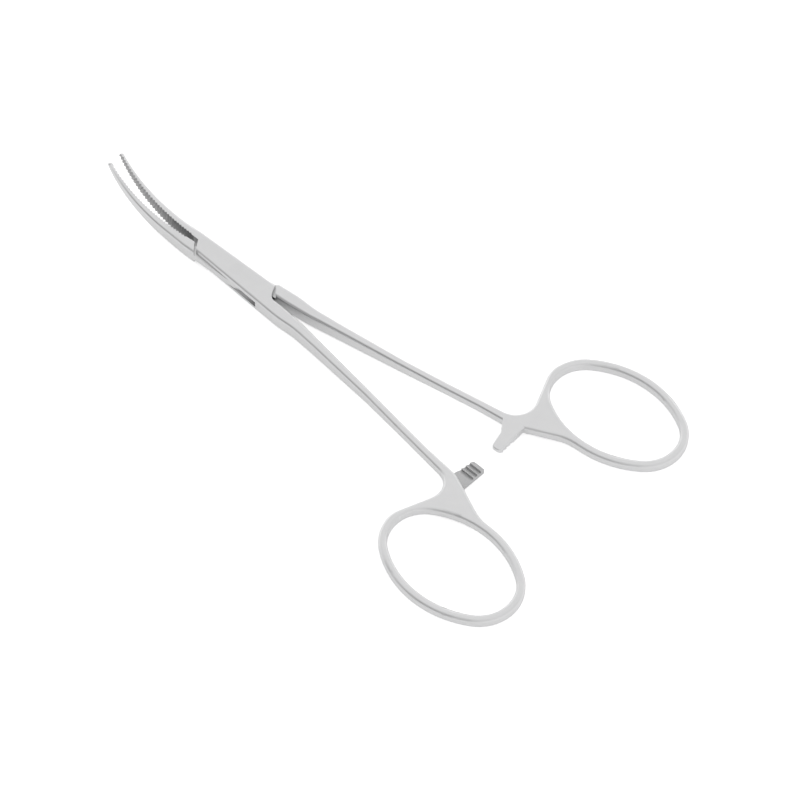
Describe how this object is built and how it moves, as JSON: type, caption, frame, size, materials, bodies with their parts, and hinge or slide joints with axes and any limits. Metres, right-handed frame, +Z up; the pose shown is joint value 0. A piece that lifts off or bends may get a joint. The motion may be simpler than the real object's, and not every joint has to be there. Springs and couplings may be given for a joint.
{
  "type": "curved hemostat forceps",
  "caption": "Slim curved hemostat forceps in bare stainless steel, with a box lock, serrated jaws, finger rings and a ratchet, lying slightly open.",
  "frame": {"origin": "where the rivet's axis meets the flat underside of the box lock", "axes": "+X from the pivot towards the finger rings, +Z up along the rivet out of the box's upper face, the way the jaws curve; the box's underside lies on the plane Z = 0"},
  "size_m": [0.127, 0.0688, 0.0116],
  "materials": {
    "steel_half_satin": "satin",
    "steel_rivet_satin": "satin"
  },
  "bodies": {
    "outer": {"outer_half": "steel_half_satin", "pivot_rivet": "steel_rivet_satin"},
    "inner": {"inner_half": "steel_half_satin"}
  },
  "joints": [
    {"name": "box_lock_hinge", "type": "hinge", "parent": "outer", "child": "inner", "pos_m": [0, 0, 0.0018], "axis": [0, 0, 1], "range_deg": [-4.5, 56]}
  ]
}
